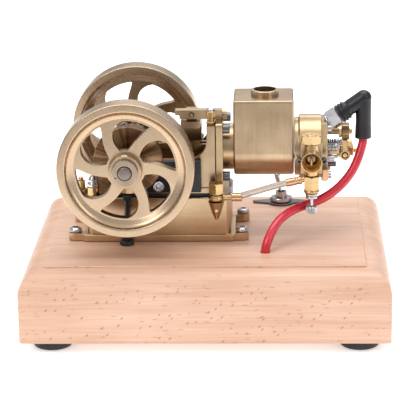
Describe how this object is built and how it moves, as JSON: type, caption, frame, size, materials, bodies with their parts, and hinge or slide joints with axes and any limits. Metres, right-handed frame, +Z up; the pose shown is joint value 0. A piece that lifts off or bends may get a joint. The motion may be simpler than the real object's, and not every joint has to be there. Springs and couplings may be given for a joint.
{
  "type": "model hopper-cooled petrol engine",
  "caption": "Horizontal single-cylinder hit-and-miss model engine in brass with open water hopper, curved-spoke flywheels and ignition lead on a moulded beech base.",
  "frame": {"origin": "centre of the base on the surface that the feet stand on", "axes": "+X along the cylinder from the crank to the head, +Y towards the far flywheel, +Z up"},
  "size_m": [0.167, 0.13, 0.1106],
  "materials": {
    "beech": "satin varnished beech, pinkish, with short dark flecks",
    "rubber": "matt black rubber",
    "boot_rubber": "moulded black rubber with a soft sheen",
    "black_plastic": "matt black",
    "dark_metal": "dark oxide",
    "steel": "turned bright steel",
    "brass": "brushed brass, warm and slightly aged",
    "bright_brass": "turned bright brass",
    "copper": "copper-coloured, turned",
    "ceramic": "glazed white insulator with a plated steel body",
    "red_silicone": "glossy red silicone",
    "clear_tube": "translucent, slightly yellow"
  },
  "bodies": {
    "engine": {"wooden_base": "beech", "foot_front_left": "rubber", "foot_front_right": "rubber", "foot_rear_left": "rubber", "foot_rear_right": "rubber", "cable_grommet": "rubber", "tank_gasket": "rubber", "plug_boot": "boot_rubber", "base_cover": "black_plastic", "battery_pack": "black_plastic", "ignition_module": "black_plastic", "sensor_bracket": "black_plastic", "sensor_cable": "black_plastic", "toggle_plate": "dark_metal", "exhaust_spring": "dark_metal", "toggle_bushing": "steel", "tank_screw_1": "steel", "tank_screw_2": "steel", "tank_screw_3": "steel", "tank_screw_4": "steel", "intake_spring": "steel", "fuel_tank": "brass", "engine_frame": "brass", "cylinder": "brass", "water_hopper": "brass", "cylinder_head": "brass", "rocker_bracket": "brass", "banjo_ring": "bright_brass", "bearing_near": "bright_brass", "bearing_far": "bright_brass", "mixer_body": "bright_brass", "mixer_plug": "bright_brass", "jet_holder": "bright_brass", "oil_cup": "bright_brass", "banjo_bolt": "copper", "spark_plug": "ceramic", "ignition_lead": "red_silicone", "fuel_line": "clear_tube"},
    "crank": {"crankshaft": "steel", "flywheel_near": "brass", "flywheel_far": "brass", "hub_collar_near": "steel", "hub_collar_far": "steel", "magnet_disc": "brass", "crank_pinion": "brass"},
    "cam": {"cam_gear": "brass"},
    "governor_1": {"governor_weight_1": "steel"},
    "governor_2": {"governor_weight_2": "steel"},
    "big_end": {"big_end": "bright_brass"},
    "piston": {"piston": "dark_metal", "wrist_pin": "steel"},
    "rod": {"rod_fork": "bright_brass"},
    "needle": {"needle_valve": "steel"},
    "intake": {"intake_valve": "steel"},
    "exhaust": {"exhaust_valve": "steel"},
    "rocker": {"rocker": "brass"},
    "pushrod": {"pushrod": "steel"},
    "latch": {"latch_bar": "bright_brass"},
    "cap": {"fuel_cap": "bright_brass"},
    "toggle": {"toggle_lever": "steel"}
  },
  "joints": [
    {"name": "crank_spin", "type": "hinge", "parent": "engine", "child": "crank", "pos_m": [-0.0355, 0, 0.0796], "axis": [0, 1, 0], "continuous": true},
    {"name": "cam_spin", "type": "hinge", "parent": "engine", "child": "cam", "pos_m": [-0.01431, 0, 0.06833], "axis": [0, 1, 0], "continuous": true},
    {"name": "big_end_level", "type": "hinge", "parent": "crank", "child": "big_end", "pos_m": [-0.0275, 0, 0.0796], "axis": [0, 1, 0], "continuous": true},
    {"name": "governor_swing_1", "type": "hinge", "parent": "crank", "child": "governor_1", "pos_m": [-0.0479, 0.028, 0.0863], "axis": [0, -1, 0], "range_deg": [0, 10], "stiffness_Nm_per_rad": 0.05},
    {"name": "governor_swing_2", "type": "hinge", "parent": "crank", "child": "governor_2", "pos_m": [-0.0231, 0.028, 0.0729], "axis": [0, -1, 0], "range_deg": [0, 10], "stiffness_Nm_per_rad": 0.05},
    {"name": "piston_slide", "type": "slide", "parent": "engine", "child": "piston", "axis": [-1, 0, 0], "range_m": [0, 0.016]},
    {"name": "rod_swing", "type": "hinge", "parent": "piston", "child": "rod", "pos_m": [0.0305, 0, 0.0796], "axis": [0, 1, 0], "range_deg": [-8, 8]},
    {"name": "needle_turn", "type": "hinge", "parent": "engine", "child": "needle", "pos_m": [0.0484, -0.019, 0.06], "axis": [0, 0, 1], "range_deg": [0, 720]},
    {"name": "intake_slide", "type": "slide", "parent": "engine", "child": "intake", "axis": [-1, 0, 0], "range_m": [0, 0.0018], "stiffness_N_per_m": 150, "deforming": ["intake_spring"]},
    {"name": "pushrod_slide", "type": "slide", "parent": "engine", "child": "pushrod", "axis": [1, 0, 0], "range_m": [0, 0.0016], "stiffness_N_per_m": 300},
    {"name": "rocker_tilt", "type": "hinge", "parent": "engine", "child": "rocker", "pos_m": [0.0645, 0.014, 0.0741], "axis": [0, -1, 0], "range_deg": [0, 18]},
    {"name": "exhaust_slide", "type": "slide", "parent": "engine", "child": "exhaust", "axis": [-1, 0, 0], "range_m": [0, 0.00185], "deforming": ["exhaust_spring"]},
    {"name": "latch_tilt", "type": "hinge", "parent": "engine", "child": "latch", "pos_m": [-0.007, -0.004, 0.0962], "axis": [0, 1, 0], "range_deg": [-3, 0]},
    {"name": "cap_lift", "type": "slide", "parent": "engine", "child": "cap", "axis": [0, 0, 1], "range_m": [0, 0.012]},
    {"name": "toggle_throw", "type": "hinge", "parent": "engine", "child": "toggle", "pos_m": [0.0345, 0.0435, 0.0429], "axis": [0, 1, 0], "range_deg": [0, 22]}
  ],
  "couplings": [
    {"joint": "cam_spin", "follows": "crank_spin", "ratio": -0.5},
    {"joint": "big_end_level", "follows": "crank_spin", "ratio": -1},
    {"joint": "governor_swing_2", "follows": "governor_swing_1", "ratio": 1},
    {"joint": "rocker_tilt", "follows": "pushrod_slide", "rad_per_m": 196.35},
    {"joint": "exhaust_slide", "follows": "pushrod_slide", "ratio": 1.1562}
  ]
}
